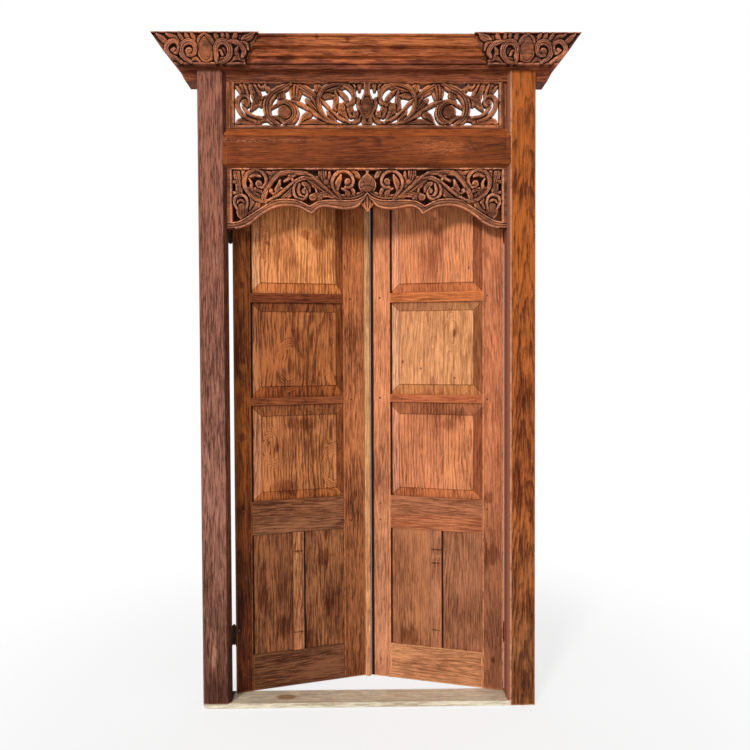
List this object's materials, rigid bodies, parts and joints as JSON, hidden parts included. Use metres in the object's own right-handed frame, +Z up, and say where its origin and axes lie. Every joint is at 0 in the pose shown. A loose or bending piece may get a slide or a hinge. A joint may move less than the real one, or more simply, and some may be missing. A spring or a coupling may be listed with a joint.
{
  "type": "carved wooden double door with frame",
  "caption": "Old carved hardwood double door in its frame, with a moulded cornice, a pierced carved transom, a scalloped carved arch and panelled leaves standing ajar",
  "frame": {"origin": "centre of the underside of the sill, midway through its depth", "axes": "x to the right seen from the front, y to the back (inwards), z up"},
  "size_m": [1.588, 0.3095, 2.547],
  "materials": {
    "golden_wood": "worn satin",
    "dark_wood": "worn satin",
    "dull_wood": "dry matte",
    "carved_wood": "worn satin",
    "pale_wood": "dry matte",
    "old_iron": "rusted"
  },
  "bodies": {
    "frame": {"sill": "pale_wood", "left_post": "dull_wood", "right_post": "golden_wood", "head_beam": "dark_wood", "cornice_carving_left": "carved_wood", "cornice_carving_right": "carved_wood", "mid_rail": "dark_wood", "transom_stile_left": "dark_wood", "transom_stile_right": "dark_wood", "transom_carving": "carved_wood", "arch_carving": "carved_wood", "frame_pegs": "dull_wood", "left_frame_plates": "old_iron", "left_hinge_pins": "old_iron", "left_frame_screws": "old_iron", "right_frame_plates": "old_iron", "right_hinge_pins": "old_iron", "right_frame_screws": "old_iron"},
    "left_leaf": {"left_leaf_hinge_stile": "golden_wood", "left_leaf_meeting_stile": "golden_wood", "left_leaf_top_rail": "golden_wood", "left_leaf_upper_cross_rail": "golden_wood", "left_leaf_lower_cross_rail": "golden_wood", "left_leaf_lock_board_upper": "golden_wood", "left_leaf_lock_board_lower": "golden_wood", "left_leaf_bottom_rail": "golden_wood", "left_leaf_muntin": "golden_wood", "left_leaf_top_panel": "golden_wood", "left_leaf_middle_panel": "golden_wood", "left_leaf_lower_panel": "golden_wood", "left_leaf_lower_board_hinge": "golden_wood", "left_leaf_lower_board_meeting": "golden_wood", "left_leaf_pegs": "dark_wood", "left_leaf_hinge_plates": "old_iron", "left_leaf_hinge_screws": "old_iron", "left_leaf_hinge_bolt": "old_iron", "left_leaf_astragal": "pale_wood"},
    "right_leaf": {"right_leaf_hinge_stile": "golden_wood", "right_leaf_meeting_stile": "golden_wood", "right_leaf_top_rail": "golden_wood", "right_leaf_upper_cross_rail": "golden_wood", "right_leaf_lower_cross_rail": "golden_wood", "right_leaf_lock_board_upper": "golden_wood", "right_leaf_lock_board_lower": "golden_wood", "right_leaf_bottom_rail": "golden_wood", "right_leaf_muntin": "golden_wood", "right_leaf_top_panel": "golden_wood", "right_leaf_middle_panel": "golden_wood", "right_leaf_lower_panel": "golden_wood", "right_leaf_lower_board_hinge": "golden_wood", "right_leaf_lower_board_meeting": "golden_wood", "right_leaf_pegs": "dark_wood", "right_leaf_hinge_plates": "old_iron", "right_leaf_hinge_screws": "old_iron"}
  },
  "joints": [
    {"name": "left_leaf_hinge", "type": "hinge", "parent": "frame", "child": "left_leaf", "pos_m": [-0.5385, 0.057, 0.244], "axis": [0, 0, 1], "range_deg": [-15.5, 74.5]},
    {"name": "right_leaf_hinge", "type": "hinge", "parent": "frame", "child": "right_leaf", "pos_m": [0.54025, 0.057, 0.244], "axis": [0, 0, 1], "range_deg": [-74.5, 15.5]}
  ]
}
